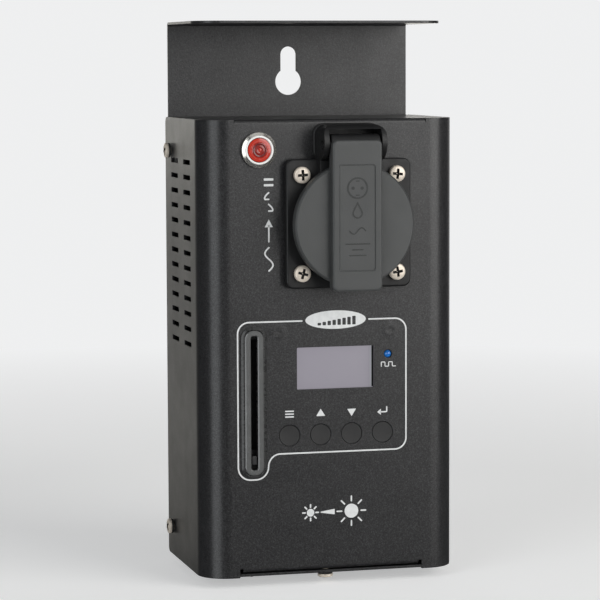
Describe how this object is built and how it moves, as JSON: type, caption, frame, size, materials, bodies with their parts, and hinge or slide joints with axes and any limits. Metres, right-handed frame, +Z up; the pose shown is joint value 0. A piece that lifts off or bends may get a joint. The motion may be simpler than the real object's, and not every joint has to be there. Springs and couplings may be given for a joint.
{
  "type": "dimmer pack",
  "caption": "Wall-hung dimmer box of bent sheet steel with a hood, a lidded mains outlet, a lamp, a fader, a display and push buttons.",
  "frame": {"origin": "wall face of the back plate, centred on its width and half way up the box", "axes": "+Y into the wall, +Z up, +X to the right of someone who faces the front"},
  "size_m": [0.1104, 0.0826, 0.2197],
  "materials": {
    "black_powder_coat": "fine-textured black powder coat on steel sheet",
    "black_moulding": "satin black moulding",
    "lid_moulding": "satin dark grey moulding",
    "black_rubber": "soft black rubber",
    "nickel_plate": "bright nickel plate",
    "chrome": "polished chrome",
    "red_lens": "clear red lens",
    "display_glass": "pale grey display window",
    "blue_light": "clear blue dome",
    "button_cap": "matt black cap",
    "circuit_board": "green board",
    "brass": "plain brass",
    "aluminium": "plain extrusion",
    "copper_winding": "lacquered copper wire",
    "capacitor_case": "moulded yellow case",
    "terminal_green": "green moulding",
    "spring_steel": "plain steel",
    "fuse_glass": "clear glass tube"
  },
  "bodies": {
    "case": {"front_cover": "black_powder_coat", "chassis": "black_powder_coat", "side_screw_left_upper": "nickel_plate", "side_screw_left_lower": "nickel_plate", "side_screw_right_upper": "nickel_plate", "side_screw_right_lower": "nickel_plate", "bottom_screw": "nickel_plate", "socket_gasket": "black_rubber", "socket_flange": "black_moulding", "socket_insert": "black_moulding", "live_contact": "brass", "neutral_contact": "brass", "earth_contact": "brass", "socket_screw_1": "nickel_plate", "socket_screw_2": "nickel_plate", "socket_screw_3": "nickel_plate", "socket_screw_4": "nickel_plate", "lid_pin": "spring_steel", "lid_spring": "spring_steel", "lamp_bezel": "chrome", "lamp_lens": "red_lens", "lamp_nut": "nickel_plate", "lamp_holder": "black_moulding", "fader_bezel": "black_moulding", "fader_body": "aluminium", "display_glass": "display_glass", "display_module": "black_moulding", "signal_light": "blue_light", "button_switch_1": "black_moulding", "button_switch_2": "black_moulding", "button_switch_3": "black_moulding", "button_switch_4": "black_moulding", "control_board": "circuit_board", "power_board": "circuit_board", "heat_sink": "aluminium", "power_transistor_1": "black_moulding", "power_transistor_2": "black_moulding", "choke": "copper_winding", "capacitor": "capacitor_case", "terminal_block": "terminal_green", "control_in_connector": "spring_steel", "control_in_screw_1": "nickel_plate", "control_in_screw_2": "nickel_plate", "control_out_connector": "spring_steel", "control_out_screw_1": "nickel_plate", "control_out_screw_2": "nickel_plate", "mains_inlet": "black_moulding", "inlet_screw_1": "nickel_plate", "inlet_screw_2": "nickel_plate"},
    "lid": {"socket_lid": "lid_moulding", "lid_seal": "black_rubber"},
    "lever": {"fader_lever": "black_moulding"},
    "first_button": {"button_1": "button_cap"},
    "second_button": {"button_2": "button_cap"},
    "third_button": {"button_3": "button_cap"},
    "fourth_button": {"button_4": "button_cap"},
    "latch": {"control_out_latch": "spring_steel"},
    "drawer": {"fuse_drawer": "black_moulding", "fuse": "fuse_glass"}
  },
  "joints": [
    {"name": "lid_hinge", "type": "hinge", "parent": "case", "child": "lid", "pos_m": [0.006, -0.0771, 0.0793], "axis": [-1, 0, 0], "range_deg": [0, 95], "stiffness_Nm_per_rad": 0.02, "springref_deg": -57.3, "deforming": ["lid_spring"]},
    {"name": "fader_slide", "type": "slide", "parent": "case", "child": "lever", "axis": [0, 0, 1], "range_m": [0, 0.045]},
    {"name": "button_1_press", "type": "slide", "parent": "case", "child": "first_button", "axis": [0, 1, 0], "range_m": [0, 0.0005], "stiffness_N_per_m": 400, "springref_m": -0.001},
    {"name": "button_2_press", "type": "slide", "parent": "case", "child": "second_button", "axis": [0, 1, 0], "range_m": [0, 0.0005], "stiffness_N_per_m": 400, "springref_m": -0.001},
    {"name": "button_3_press", "type": "slide", "parent": "case", "child": "third_button", "axis": [0, 1, 0], "range_m": [0, 0.0005], "stiffness_N_per_m": 400, "springref_m": -0.001},
    {"name": "button_4_press", "type": "slide", "parent": "case", "child": "fourth_button", "axis": [0, 1, 0], "range_m": [0, 0.0005], "stiffness_N_per_m": 400, "springref_m": -0.001},
    {"name": "latch_press", "type": "slide", "parent": "case", "child": "latch", "axis": [0, 0, 1], "range_m": [0, 0.001], "stiffness_N_per_m": 400, "springref_m": -0.001},
    {"name": "fuse_drawer_slide", "type": "slide", "parent": "case", "child": "drawer", "axis": [0, 0, -1], "range_m": [0, 0.016]}
  ]
}
